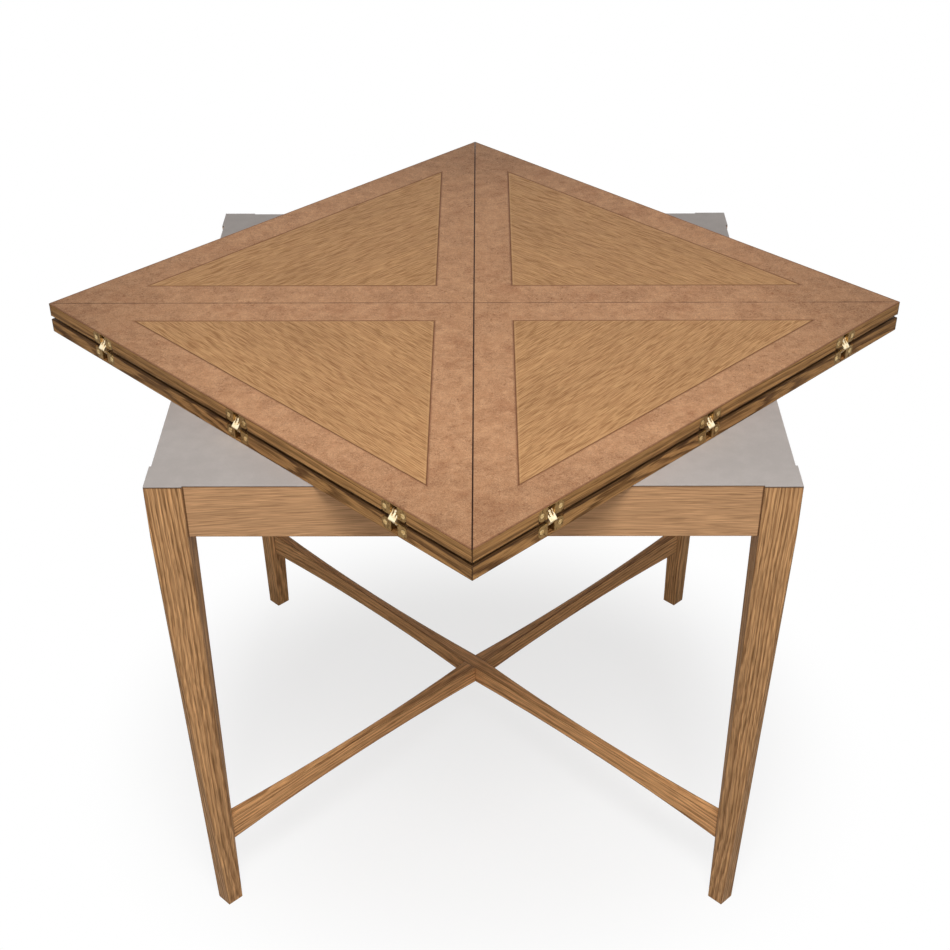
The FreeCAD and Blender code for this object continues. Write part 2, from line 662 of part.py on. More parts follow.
# Square board: core, four mitred edgings, and the cloth let into its upper face.
core_square = box("core_square", (minus("half_core"), "half_core"), (minus("half_core"), "half_core"),
                  ("board_low", "board_top"))
cloth_span = (minus("half_baize + glue_gap"), "half_baize + glue_gap")
cloth_recess = box("cloth_recess", cloth_span, cloth_span,
                   ("board_top - baize_thick", "board_top + overrun"))
flange_recess = cylinder("flange_recess", "flange_dia/2 + glue_gap", "flange_thick + overrun",
                         z="board_low - overrun")
groove_half = "peg_dia/2 + run_gap"
groove_depth = "peg_rise + run_gap + overrun"
groove_sector = cylinder("groove_sector", "peg_radius + " + groove_half, groove_depth,
                         z="board_low - overrun", angle=-135, sector=45)
groove_inside = cylinder("groove_inside", "peg_radius - (%s)" % groove_half,
                         "peg_rise + run_gap + 3*overrun", z="board_low - 2*overrun")
groove_arc = cut("groove_arc", groove_sector, [groove_inside])
groove_start = cylinder("groove_start", groove_half, groove_depth, x="-peg_radius/sqrt(2)",
                        y="-peg_radius/sqrt(2)", z="board_low - overrun")
groove_stop = cylinder("groove_stop", groove_half, groove_depth, y="-peg_radius",
                       z="board_low - overrun")
groove = fuse("groove", [groove_arc, groove_start, groove_stop])
board_core = cut("board_core_square", core_square, [cloth_recess, flange_recess, flange_holes, groove])
keep(turned("board_core", board_core, TOP_ANGLE), "board_core")
board_strip = prism("board_strip", [
    (minus("half_top"), minus("half_top")), ("half_top", minus("half_top")),
    ("half_core", minus("half_core")), (minus("half_core"), minus("half_core")),
], "board_low", "board_top")
board_strip_eased = eased("board_strip_eased", board_strip, minus("half_top"), "board_top")
board_edge = cut("board_edge", board_strip_eased, board_recesses)
cloth_square = box("cloth_square", (minus("half_baize"), "half_baize"), (minus("half_baize"), "half_baize"),
                   ("board_top - baize_thick", "board_top"))
keep(turned("board_baize", cloth_square, TOP_ANGLE), "board_baize")
for label, piece in (("board_edging", board_edge), ("board_hinge_plates", board_plates),
                     ("board_hinge_screws", board_screws)):
    copies = [copy("%s_%s" % (label, side), piece, angle=angle) for side, angle in LEAF_ANGLES.items()]
    keep(group(label, copies), label)


def triangle(inset):
    """Corners of a leaf, moved inward from all three sides."""
    low_y = "%s - half_top" % inset
    low_x = "half_top - seam_half*sqrt(2) - (%s)*(1 + sqrt(2))" % inset
    return [(minus(low_x), low_y), (low_x, low_y), ("0", minus("(seam_half + %s)*sqrt(2)" % inset))]


def strips(name, outside, inside, low, high):
    """Three mitred strips between two insets, the outer one first."""
    outer = triangle(outside)
    inner = triangle(inside)
    pieces = []
    for number in range(3):
        after = (number + 1) % 3
        corners = [outer[number], outer[after], inner[after], inner[number]]
        pieces.append(prism("%s_%d" % (name, number), corners, low, high))
    return pieces


# Folding leaf: core, edging, border, field and the cloth on the side that is inside when folded.
leaf_core_solid = prism("leaf_core_solid", triangle("edging_width"), "leaf_low", "leaf_wood_top")
leaf_cloth_recess = prism("leaf_cloth_recess", triangle("(baize_inset - glue_gap)"), "leaf_low - overrun",
                          "leaf_low + baize_thick")
leaf_core = cut("leaf_core", leaf_core_solid, [leaf_cloth_recess])
leaf_strips = strips("leaf_strip", "0", "edging_width", "leaf_low", "leaf_wood_top")
leaf_front_eased = eased("leaf_front_eased", leaf_strips[0], minus("half_top"), "leaf_low")
leaf_front = cut("leaf_front", leaf_front_eased, leaf_recesses)
leaf_edging = group("leaf_edging", [leaf_front] + leaf_strips[1:])
leaf_border = group("leaf_border", strips("leaf_band", "0", "border_width", "leaf_wood_top", "leaf_top"))
leaf_field = prism("leaf_field", triangle("(border_width + scored_line)"), "leaf_wood_top", "leaf_top")
leaf_baize = prism("leaf_baize", triangle("baize_inset"), "leaf_low", "leaf_low + baize_thick")
LEAF_PIECES = {
    "leaf_core": leaf_core,
    "leaf_edging": leaf_edging,
    "leaf_border": leaf_border,
    "leaf_field": leaf_field,
    "leaf_baize": leaf_baize,
    "leaf_hinge_plates": leaf_plates,
    "leaf_hinge_screws": leaf_screws,
    "hinge_links": links,
}
for side, angle in LEAF_ANGLES.items():
    for kind, piece in LEAF_PIECES.items():
        keep(turned("%s_%s" % (kind, side), piece, angle), "%s_%s" % (kind, side))

doc.recompute()
faulty = [thing.Name for thing in doc.Objects if "Invalid" in thing.State or "Error" in thing.State]
if faulty:
    raise RuntimeError("not rebuilt: " + ", ".join(faulty))
for node in nodes:
    if node.Shape.isNull() or not node.Shape.isValid() or not node.Shape.Solids:
        raise RuntimeError("no sound solid in " + node.Label)

os.makedirs("parts", exist_ok=True)
for node in nodes:
    node.Shape.exportStep("parts/%s.step" % node.Label)
print("%d sub-parts, %d solids" % (len(nodes), sum(len(node.Shape.Solids) for node in nodes)))
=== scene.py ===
# %% [markdown]
# # A card table with an envelope top
# The real thing is a square table frame with a grey cloth over it. A square top swivels on the frame,
# and four triangular leaves lie folded on the top like the flaps of an envelope. The solids come from
# the CAD model, all in metres and all in their places. They could be modelled again here, but then the
# two models would drift apart. So this script only gives the solids their finishes, makes the cloth, and
# sets up the camera and the studio.

# %% Load the solids
import math

import bpy
from mathutils import Euler, Matrix, Vector


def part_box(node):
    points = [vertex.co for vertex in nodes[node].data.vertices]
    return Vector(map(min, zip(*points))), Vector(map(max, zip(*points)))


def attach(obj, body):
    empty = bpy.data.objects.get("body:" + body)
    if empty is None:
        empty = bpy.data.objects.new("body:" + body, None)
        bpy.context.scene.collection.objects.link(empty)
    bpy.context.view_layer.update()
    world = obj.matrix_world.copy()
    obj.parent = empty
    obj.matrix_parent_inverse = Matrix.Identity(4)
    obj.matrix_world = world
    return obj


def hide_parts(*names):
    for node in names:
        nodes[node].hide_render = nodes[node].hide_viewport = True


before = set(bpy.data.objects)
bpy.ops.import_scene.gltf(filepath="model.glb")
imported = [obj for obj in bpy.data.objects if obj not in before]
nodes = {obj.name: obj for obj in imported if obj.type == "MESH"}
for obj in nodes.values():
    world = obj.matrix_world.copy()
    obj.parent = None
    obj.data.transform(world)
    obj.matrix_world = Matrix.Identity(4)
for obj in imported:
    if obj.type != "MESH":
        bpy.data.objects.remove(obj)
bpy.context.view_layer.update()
SIDES = ("front_left", "front_right", "rear_right", "rear_left")


# %% [markdown]
# ## Camera
# The photograph looks down on the table from in front, at about standing height. A camera can be moved by
# eye until the picture fits, but the eye easily trades lens for distance, so the lens, the place and the
# tilt were worked out from the corners of the top and of the frame. A tilted camera shows upright legs
# running together towards the floor, and a small upward shift of the lens keeps the whole table in a
# square picture.

# %% Place the camera
LENS, SENSOR = 60.18, 36
SHIFT = 0.1526
STAND = (0.0098, -1.8918, 1.7044)
DOWN, ASIDE, ROLL = (math.radians(angle) for angle in (37.986, 0.308, -0.246))

tilt = Euler((math.pi / 2 - DOWN, 0, ASIDE)).to_matrix() @ Matrix.Rotation(ROLL, 3, "Z")
bpy.ops.object.select_all(action="DESELECT")
bpy.ops.object.camera_add(location=STAND, rotation=tilt.to_euler())
camera = bpy.context.object
camera.data.sensor_width = SENSOR
camera.data.lens = LENS
camera.data.shift_y = SHIFT
bpy.context.scene.camera = camera
print("camera height:", round(camera.location.z, 3), "lens:", LENS)

# %% [markdown]
# ## Writing shaders as sums
# Blender's shader editor joins nodes by wires. A script can add every node and every wire by name, but the
# same net reads better as arithmetic, so one small class stands for an output socket. Plus, minus and the
# other signs each add a Math node, and every other kind of node comes from one method that sets the node
# up and then joins its sockets.


# %% A socket that can be reckoned with
class Socket:
    """One output of a shader node. Python's operators on it add Math nodes to the same tree."""

    def __init__(self, tree, output=None):
        self.tree = tree
        self.output = output

    def node(self, kind, settings=(), values=(), output=0):
        """Add a node: its settings first, then the values or the links of its sockets."""
        made = self.tree.nodes.new(kind)
        for name, setting in dict(settings).items():
            if name == "stops":
                stops = made.color_ramp.elements
                stops[0].position, stops[0].color = setting[0]
                stops[1].position, stops[1].color = setting[-1]
                for place, colour in setting[1:-1]:
                    stops.new(place).color = colour
            else:
                setattr(made, name, setting)
        for name, value in dict(values).items():
            if isinstance(value, Socket):
                self.tree.links.new(value.output, made.inputs[name])
            else:
                made.inputs[name].default_value = value
        return Socket(self.tree, made.outputs[output])

    def into(self, shader, name):
        self.tree.links.new(self.output, shader.inputs[name])

    def math(self, operation, *values):
        return self.node("ShaderNodeMath", {"operation": operation}, enumerate(values))

    def __add__(self, other):
        return self.math("ADD", self, other)

    def __sub__(self, other):
        return self.math("SUBTRACT", self, other)

    def __rsub__(self, other):
        return self.math("SUBTRACT", other, self)

    def __mul__(self, other):
        return self.math("MULTIPLY", self, other)

    def __truediv__(self, other):
        return self.math("DIVIDE", self, other)

    def __gt__(self, other):
        return self.math("GREATER_THAN", self, other)

    def __lt__(self, other):
        return self.math("LESS_THAN", self, other)

    def __abs__(self):
        return self.math("ABSOLUTE", self)

    __radd__ = __add__
    __rmul__ = __mul__


print("signs that add Math nodes: + - * / > < and abs")

# %% [markdown]
# ## Colours, steps and places
# Colours are written as they look on a screen, because that is how they were compared with the photograph,
# and then turned into the light that a shader reckons with. A soft step makes the masks that lay one
# colour over another. Places could come from a UV map, but the solids have none, so they are read from
# Object coordinates, which stay with a piece when it moves.


# %% Small helpers for shaders
def display(red, green, blue):
    """A colour as a screen shows it, from 0 to 255, as the light that a shader reckons with."""
    part = [value / 255 for value in (red, green, blue)]
    return [p / 12.92 if p < 0.04045 else ((p + 0.055) / 1.055) ** 2.4 for p in part] + [1]


def blend(amount, first, second):
    return amount.node("ShaderNodeMix", {"data_type": "RGBA"}, {0: amount, 6: first, 7: second}, 2)


def dimmed(colour, factor):
    """A colour made darker or lighter by a factor that changes over the surface."""
    return factor.node("ShaderNodeMix", {"data_type": "RGBA", "blend_type": "MULTIPLY"},
                       {0: 1.0, 6: colour, 7: factor}, 2)


def fade(value, low, high):
    """A soft step from 0 at low to 1 at high. With low above high it falls instead of rising."""
    return value.node("ShaderNodeMapRange", {"interpolation_type": "SMOOTHSTEP"},
                      {"Value": value, "From Min": low, "From Max": high})


def larger(first, second):
    return first.math("MAXIMUM", first, second)


def smaller(first, second):
    return first.math("MINIMUM", first, second)


def vector(operation, first, second, output=0):
    return first.node("ShaderNodeVectorMath", {"operation": operation}, {0: first, 1: second}, output)


def own_place(start):
    return start.node("ShaderNodeTexCoord", (), (), "Object")


def parts(place):
    return [place.node("ShaderNodeSeparateXYZ", (), {0: place}, axis) for axis in range(3)]


def joined(x, y, z):
    return x.node("ShaderNodeCombineXYZ", (), {0: x, 1: y, 2: z})


print("mid grey on a screen is", round(display(128, 128, 128)[0], 3), "of white in light")

# %% [markdown]
# ## Lamps
# A product picture of this kind is lit by a broad soft lamp above and in front. A sun would be simpler, but
# its shadows are hard and its light is the same all over. This key lamp hangs rather near, so the back of
# the top gets less light than the front. A wide lamp stands lower in front for the legs and aprons, weak
# ones at the sides open up the shadows, and one behind, below the level of the top, lights only the back.

# %% Hang the lamps
LAMP_AIM = Vector((0, 0, 0.45))
# place, width and power
LAMPS = {
    "lamp_key": ((0.08, -1.55, 2.6), 1.0, 49),
    "lamp_low": ((0.0, -3.4, 1.1), 2.0, 26),
    "lamp_left": ((-2.8, -0.9, 1.9), 1.6, 2.5),
    "lamp_right": ((2.8, -0.9, 1.9), 1.6, 2.5),
    "lamp_back": ((0.0, 3.6, 0.38), 0.7, 30),
}
for name, (place, width, power) in LAMPS.items():
    aim = (Vector(place) - LAMP_AIM).to_track_quat("Z", "Y").to_euler()
    bpy.ops.object.light_add(type="AREA", location=place, rotation=aim)
    lamp = bpy.context.object
    lamp.name = name
    lamp.data.size = width
    lamp.data.energy = power
print("lamps:", len(LAMPS))

# %% [markdown]
# ## White background
# More light would turn the background white, but it would bleach the wood as well. The Light Path node
# does it without: rays straight from the camera, through glass or mirrored in metal see plain white, while
# the room's own light on the table stays dim.

# %% Make the room white
WHITE = (1, 1, 1, 1)
SOFT_LIGHT = 0.15


def seen_plain(tree, mirrored=1.0):
    """1 for the rays that show a background: straight from the camera, or by way of glass or of metal."""
    camera_ray, clear_ray, glossy_ray = (tree.node("ShaderNodeLightPath", (), (), name) for name in
                                         ("Is Camera Ray", "Is Transmission Ray", "Is Glossy Ray"))
    return larger(larger(camera_ray, clear_ray), glossy_ray * mirrored)


room = bpy.data.worlds.new("white_room")
bpy.context.scene.world = room
room.use_nodes = True
room_tree = Socket(room.node_tree)
soft_light = room_tree.node("ShaderNodeBackground", (), {"Color": WHITE, "Strength": SOFT_LIGHT})
white = room_tree.node("ShaderNodeBackground", (), {"Color": WHITE, "Strength": 1.0})
room_look = room_tree.node("ShaderNodeMixShader", (), {0: seen_plain(room_tree), 1: soft_light, 2: white})
room_look.into(room.node_tree.nodes["World Output"], "Surface")
bpy.context.scene.view_settings.view_transform = "Standard"
print("strength of the room's own light:", SOFT_LIGHT)

# %% [markdown]
# ## Floor
# The floor is pale and keeps a soft shadow under the table, which fades out into the white. Plain white
# would show no shadow and plain paint would look grey, so the floor mixes the two, and the share of white
# grows away from the middle. Light that bounces from the floor to the table meets a middle grey, or the
# table would be lit too much from below.

# %% Lay the floor
FLOOR_SIZE = 14
FLOOR_GREY, FLOOR_PALE = (0.5, 0.5, 0.5, 1), (0.93, 0.93, 0.93, 1)
FLOOR_MIRRORED = 0.25
SHADOW = 0.28
SHADOW_FULL, SHADOW_GONE = 0.3, 0.64

bpy.ops.object.select_all(action="DESELECT")
bpy.ops.mesh.primitive_plane_add(size=FLOOR_SIZE, location=(0, 0, 0))
floor = bpy.context.object
floor.name = "studio_floor"
paint = bpy.data.materials.new("floor_paint")
paint.use_nodes = True
paint.node_tree.nodes.remove(paint.node_tree.nodes["Principled BSDF"])
floor_tree = Socket(paint.node_tree)
paint_colour = blend(seen_plain(floor_tree), FLOOR_GREY, FLOOR_PALE)
matt = floor_tree.node("ShaderNodeBsdfDiffuse", (), {"Color": paint_colour})
glow = floor_tree.node("ShaderNodeEmission", (), {"Color": WHITE, "Strength": 1.0})
from_middle = vector("LENGTH", own_place(floor_tree), (0, 0, 0), 1)
share = (1 - SHADOW) + SHADOW * fade(from_middle, SHADOW_FULL, SHADOW_GONE)
plain = seen_plain(floor_tree, FLOOR_MIRRORED) * share
floor_look = floor_tree.node("ShaderNodeMixShader", (), {0: plain, 1: matt, 2: glow})
floor_look.into(paint.node_tree.nodes["Material Output"], "Surface")
floor.data.materials.append(paint)
print("floor side in metres:", FLOOR_SIZE)

# %% [markdown]
# ## Wood from growth rings
# The frame is ash or oak, stained light brown: dark open-pored lines where each year's growth began,
# paler hard wood between them, and fine fibres. A flat picture of boards would look pasted on, so the
# wood is made as a tree is: rings round a heart line that runs beside each stick. Where a face cuts the
# rings square it gets straight lines, and where it cuts them at a slant it gets the long arches. No two
# years are alike, so each ring has a strength of its own. Pores and fibres are noise that is squeezed
# across the grain and drawn out along it.

# %% Rings, pores and fibres
# how strongly the early wood shows, from the start of a year to its end
YEAR = ((0.0, 0.2), (0.14, 1.0), (0.4, 0.7), (0.62, 0.1), (1.0, 0.0))
YEAR_STOPS = [(place, (amount, amount, amount, 1)) for place, amount in YEAR]
# streaks to the metre, across the grain and along it
DRIFTS, PORES, FIBRES, CLOUDS = (9, 2.2), (480, 26), (900, 18), (16, 4)
WOBBLES_ACROSS, WOBBLED_YEARS = 170, 1.1


def streaks(grain, across, along, detail=2.0, rough=0.5, output=0):
    """Noise drawn out along the grain: so many streaks to the metre across it and along it."""
    drawn = vector("MULTIPLY", grain, (across, across, along))
    return grain.node("ShaderNodeTexNoise", (), {"Vector": drawn, "Scale": 1.0, "Detail": detail,
                                                  "Roughness": rough}, output)


def growth(grain, ring, wander, wobble):
    """How much of a year's first growth, of pores, of fibre and of broad cloud there is at a place."""
    drift = vector("SUBTRACT", streaks(grain, *DRIFTS, 1.0, output=1), (0.5, 0.5, 0.5))
    bent = vector("ADD", grain, vector("MULTIPLY", drift, (wander, wander, 0)))
    radius = vector("LENGTH", vector("MULTIPLY", bent, (1, 1, 0)), (0, 0, 0), 1)
    uneven = streaks(bent, WOBBLES_ACROSS, wobble, 2.0, 0.6) - 0.5
    years = radius / ring + uneven * WOBBLED_YEARS
    phase = years.math("FRACT", years)
    early = phase.node("ShaderNodeValToRGB", {"stops": YEAR_STOPS}, {"Fac": phase})
    year = years.math("FLOOR", years)
    own = year.node("ShaderNodeTexWhiteNoise", {"noise_dimensions": "1D"}, {"W": year})
    early = early * (0.45 + 0.55 * own)
    pores = fade(streaks(bent, *PORES, 2.0, 0.6), 0.5, 0.6)
    fibres = streaks(bent, *FIBRES, 1.0) - 0.5
    clouds = streaks(bent, *CLOUDS) - 0.5
    return early, pores, fibres, clouds


print("stops in a year of growth:", len(YEAR_STOPS))

# %% [markdown]
# ## Stain and wax
# The stain has gone deepest into the open pores and along the edges, where the ends of the fibres drink it
# up. Edges could be painted one by one, but a Bevel node finds them all: it gives the normal that a rounded
# edge would have, and where that leaves the true normal, an edge is near. The same normal rounds the edges
# a little in the light. Every finish starts from the same shader with a few fixed values.

# %% Stained wood
EDGE_WIDTH = 0.0016


def finish(name, roughness=0.5, specular=0.3, metallic=0.0, sheen=0.0):
    """A new material, its shader, and a place to start writing sums."""
    material = bpy.data.materials.new(name)
    material.use_nodes = True
    shader = material.node_tree.nodes["Principled BSDF"]
    shader.inputs["Roughness"].default_value = roughness
    shader.inputs["Specular IOR Level"].default_value = specular
    shader.inputs["Metallic"].default_value = metallic
    shader.inputs["Sheen Weight"].default_value = sheen
    return material, shader, Socket(material.node_tree)


def bump(shader, height, strength, distance, normal=None):
    """Give a shader the relief of a height, over its own normal or over a softened one."""
    values = {"Strength": strength, "Distance": distance, "Height": height}
    if normal is not None:
        values["Normal"] = normal
    height.node("ShaderNodeBump", (), values).into(shader, "Normal")


def arris(start, radius):
    """The softened edge of a stick, and how near the edge is."""
    round_edge = start.node("ShaderNodeBevel", {"samples": 4}, {"Radius": radius})
    true = start.node("ShaderNodeNewGeometry", (), (), "Normal")
    bent = 1 - vector("DOT_PRODUCT", round_edge, true, 1)
    return round_edge, fade(bent, 0.01, 0.2)


def wooden(name, grain_of, tones, ring, wander=0.02, wobble=18, contrast=1.0, depth=1.0,
           stain_and_shade=None, edge=0.5, edge_width=EDGE_WIDTH):
    """A stained and waxed wood.

    grain_of gives the grain's coordinates, and the stain argument gives dark lines: some are stained
    joints, and some are painted shade in gaps, seams and under the edge of the cloth. ring is the width of
    a year, wander and wobble bend the rings, contrast is their strength, and depth that of pores and
    fibres.
    """
    pale, brown, dark = tones
    material, shader, start = finish(name, specular=0.1)
    early, pores, fibres, clouds = growth(grain_of(start), ring, wander, wobble)
    round_edge, near_edge = arris(start, edge_width)
    colour = blend(early * contrast, pale, brown)
    colour = blend(pores * (0.2 + 0.2 * early) * depth, colour, dark)
    colour = dimmed(colour, 1.04 + fibres * (1.6 * depth) + clouds * 0.35)
    colour = blend(near_edge * edge, colour, dark)
    # dark lines: stained joints, and painted shade in gaps, seams and under the cloth
    if stain_and_shade is not None:
        colour = blend(stain_and_shade(start), colour, dark)
    colour.into(shader, "Base Color")
    (0.5 + 0.16 * pores - 0.1 * fibres).into(shader, "Roughness")
    bump(shader, 0.4 * fibres - 0.8 * pores * (0.3 + early), 0.3, 0.0004, round_edge)
    return material


print("stain reaches in from an edge by mm:", 1000 * EDGE_WIDTH)

# %% [markdown]
# ## Legs
# Each leg is a stick from another part of the tree, so each gets a heart line and a tone of its own. The
# rear legs stand in the shade of the top, so their tones are raised further, as painted light. Grain could
# be laid by hand on every face, but a Mapping node does it for the whole stick: it turns the piece's
# coordinates until Z runs along the grain, and moves them to the heart. Under the edge of the cloth the
# material draws a thin dark line by height, as painted shade.

# %% Dress the legs
BASE_WIDTH, LEG_WIDTH = 0.752, 0.044
HALF = BASE_WIDTH / 2
LEG_CENTRE = HALF - LEG_WIDTH / 2
FRAME_TONES = display(192, 146, 100), display(126, 86, 51), display(72, 45, 25)
LEG_RING = 0.0044
LEG_SLANT, LEG_LEAN = 0.012, 0.01
CLOTH_LINE = 0.7106
LINE_BEFORE, LINE_AFTER = 0.0004, 0.0002
# where the heart lies beside and behind the leg, and how light it is: its own tone, with painted light on
# the rear legs
LEGS = {"front_left": (-0.105, 0.035, 0.97), "front_right": (0.115, 0.03, 0.91),
        "rear_left": (-0.09, 0.06, 1.36), "rear_right": (0.1, -0.06, 1.2)}


def stick_grain(along, heart):
    """The grain of a straight stick: Z runs along it, and X and Y start at the heart of the tree."""
    turn = Vector(along).rotation_difference(Vector((0, 0, 1)))

    def grain(start):
        return start.node("ShaderNodeMapping", {"vector_type": "POINT"},
                          {"Vector": own_place(start), "Rotation": turn.to_euler(),
                           "Location": -(turn @ Vector(heart))})

    return grain


def toned_and_lit(tones, factor):
    """The same wood from another tree, or lit by painted light: all of its tones lighter or darker."""
    return [[factor * part for part in tone[:3]] + [1] for tone in tones]


def dark_line(distance, line):
    return fade(distance, line - LINE_BEFORE, line + LINE_AFTER)


def shade_under_cloth(start):
    # painted shade: a thin dark line just below the edge of the cloth
    height = parts(own_place(start))[2]
    return dark_line(height, CLOTH_LINE) * 0.75


def dress(material, *names):
    for name in names:
        nodes[name].material_slots[0].material = material


for side, (aside, behind, tone) in LEGS.items():
    right = 1 if "right" in side else -1
    rear = 1 if "rear" in side else -1
    heart = (right * LEG_CENTRE + aside, rear * LEG_CENTRE + behind, 0)
    dress(wooden("leg_wood_" + side, stick_grain((LEG_SLANT * right, LEG_LEAN, 1), heart),
                 toned_and_lit(FRAME_TONES, tone), LEG_RING, stain_and_shade=shade_under_cloth), "leg_" + side)
print("legs dressed:", len(LEGS))

# %% [markdown]
# ## Aprons
# The aprons were sawn flat from the log, so their heart lines run near them and their rings open into long
# arches. The legs' wood would be too lively here, so their rings are weaker. Beside each leg a second dark
# line is drawn, partly the joint and partly painted shade of the step where the leg stands proud of the
# apron.

# %% Dress the aprons
APRON_TONES = display(181, 139, 100), display(132, 93, 60), display(84, 56, 34)
APRON_RING = 0.003
JOINT_LINE = 0.3305
# direction of the grain, and a point of the heart line
APRONS = {"front": ((1, 0, 0.028), (0.05, -0.312, 0.662)), "rear": ((1, 0, -0.02), (-0.1, 0.31, 0.668)),
          "left": ((0, 1, 0.02), (-0.312, 0.05, 0.67)), "right": ((0, 1, -0.024), (0.31, -0.08, 0.664))}


def apron_joints(axis):
    """The dark lines of an apron that runs along X, axis 0, or along Y, axis 1."""
    def stain_and_shade(start):
        # beside each leg: the joint, and painted shade of the step where the leg stands proud
        beside_leg = dark_line(abs(parts(own_place(start))[axis]), JOINT_LINE)
        return larger(beside_leg * 0.85, shade_under_cloth(start))

    return stain_and_shade


for side, (along, heart) in APRONS.items():
    dress(wooden("apron_wood_" + side, stick_grain(along, heart), APRON_TONES, APRON_RING,
                 wander=0.036, wobble=4, contrast=0.24, depth=0.7,
                 stain_and_shade=apron_joints(along.index(1)), edge=0.25), "apron_" + side)
print("aprons dressed:", len(APRONS))

# %% [markdown]
# ## Crossed rails
# Two thin waisted rails cross near the floor. They could share the wood of the legs, but theirs is redder,
# and painted lighter as painted light, since they stand in the shade of the top. They have dark stained
# edges that are wider than elsewhere. The grain runs from corner to corner.

# %% Dress the rails
# tones raised as painted light, for rails in the shade of the top
RAIL_LIT_TONES = display(217, 163, 110), display(144, 96, 56), display(78, 47, 25)
RAIL_RING = 0.0055
RAIL_EDGE = 0.0032
RAILS = {"lower": ((1, 1, 0.01), (0.03, -0.03, 0.06)), "upper": ((1, -1, 0.012), (0.04, 0.05, 0.05))}
for level, (along, heart) in RAILS.items():
    dress(wooden("rail_wood_" + level, stick_grain(along, heart), RAIL_LIT_TONES, RAIL_RING,
                 contrast=0.8, edge=0.8, edge_width=RAIL_EDGE), "stretcher_rail_" + level)
print("rails dressed:", len(RAILS))

# %% [markdown]
# ## Directions on the square top
# Strips of a darker wood run round the square board and round each leaf. A material for every strip would
# need a joint at every corner, so one material follows strips in three directions. It finds the nearest
# edge first: the outer edge of the square, or one of the two seams that cross in the middle. Then it lays
# the grain along that edge.

# %% Find the edges of the square
CORNER = 0.5565
DIAGONAL = math.sqrt(0.5)
STRIP_LEAN = 0.008


def from_outside(x, y):
    return (CORNER - abs(x) - abs(y)) * DIAGONAL


def along_outside(x, y):
    same = x * y > 0
    return (x + y * (1 - 2 * same)) * DIAGONAL


def from_seam(x, y):
    return smaller(abs(x), abs(y))


def along_seam(x, y):
    return larger(abs(x), abs(y))


def strip_grain(heart_in, heart_low):
    """The grain of a strip along the nearest edge: Z runs along it, X goes in and Y goes up."""
    def grain(start):
        x, y, z = parts(own_place(start))
        inward, beside, run = from_outside(x, y), from_seam(x, y), along_seam(x, y)
        outer = inward < beside
        across = beside + (inward - beside) * outer
        run = run + (along_outside(x, y) - run) * outer
        return joined(across + heart_in, z - heart_low + run * STRIP_LEAN, run)

    return grain


print("side of the square in mm:", round(2000 * CORNER * DIAGONAL, 1))

# %% [markdown]
# ## Edge strips
# The board's strips were cut near the heart and show bold arches, and those of the leaves were cut further
# out and show quieter lines. The gap between board and leaf and the open seams at the mitres are painted
# dark, as painted shade. Dark lines could be modelled as grooves, but they are thinner than a pencil line,
# so the material draws them.

# %% Dress the edge strips
EDGE_TONES = display(168, 124, 76), display(98, 66, 36), display(50, 31, 16)
BOARD_RING, LEAF_RING = 0.0042, 0.007
BOARD_TOP, LEAF_LOW = 0.7314, 0.7355
# where each painted shade begins, and where it is full
GAP_BELOW, GAP_ABOVE = (BOARD_TOP - 0.0028, BOARD_TOP - 0.0008), (LEAF_LOW + 0.002, LEAF_LOW + 0.0006)
GAP_DEEP, MITRE_DEEP, MITRE_WIDE = (0.005, 0.0025), (0.004, 0.002), (0.0009, 0.0005)


def shade_in_gap(start):
    """Painted shade between board and leaf near the outer edge, and in the open seams at the mitres."""
    x, y, z = parts(own_place(start))
    inward = from_outside(x, y)
    gap = fade(z, *GAP_BELOW) * fade(z, *GAP_ABOVE) * fade(inward, *GAP_DEEP)
    mitre = fade(from_seam(x, y), *MITRE_WIDE) * fade(inward, *MITRE_DEEP)
    return larger(gap, mitre) * 0.8


dress(wooden("board_strip_wood", strip_grain(heart_in=0.03, heart_low=0.7195), EDGE_TONES, BOARD_RING,
             wander=0.06, wobble=16, contrast=1.15, stain_and_shade=shade_in_gap, edge=0.3), "board_edging")
leaf_strips = ["leaf_edging_" + side for side in SIDES]
dress(wooden("leaf_strip_wood", strip_grain(heart_in=0.022, heart_low=0.7), EDGE_TONES, LEAF_RING,
             wander=0.014, wobble=6, contrast=0.75, stain_and_shade=shade_in_gap, edge=0.3), *leaf_strips)
print("strips dressed on", 1 + len(leaf_strips), "solids")

# %% [markdown]
# ## Veneer of the four fields
# Each leaf has a triangle of golden veneer in the middle, cut so that its grain runs with the outer edge.
# From above it shows no rings, only thin pale and dark flecks a few centimetres long. Noise drawn out
# along the grain does this well: two for the flecks, then longer streaks, soft bands and broad clouds.
# Along the scored line round the field its rim is drawn darker, and a paler line further in is a painted
# highlight on the edge of the groove.

# %% Dress the fields
FIELD_PALE, FIELD_GOLD, FIELD_DARK = display(208, 161, 111), display(180, 132, 88), display(126, 84, 50)
SCORE = display(112, 68, 44)
BORDER, SCORED = 0.050, 0.0008
FIELD_EDGE = BORDER + SCORED
RIM_DARK, RIM_PALE = 0.0016, 0.0034
# streaks to the metre, across the grain and along it
PALE_FLECKS, DARK_FLECKS = (860, 32), (820, 44)
LONG_STREAKS, SOFT_BANDS, BROAD_CLOUDS = (170, 5), (50, 3), (12, 4)
# how far the grain of each leaf leans away from its outer edge, in degrees
LEANS = {"front_left": 4.0, "front_right": -5.0, "rear_right": 3.0, "rear_left": -3.0}


def edge_distance(x, y):
    """Distance in from the nearest of a leaf's three edges."""
    return smaller(from_outside(x, y), from_seam(x, y))


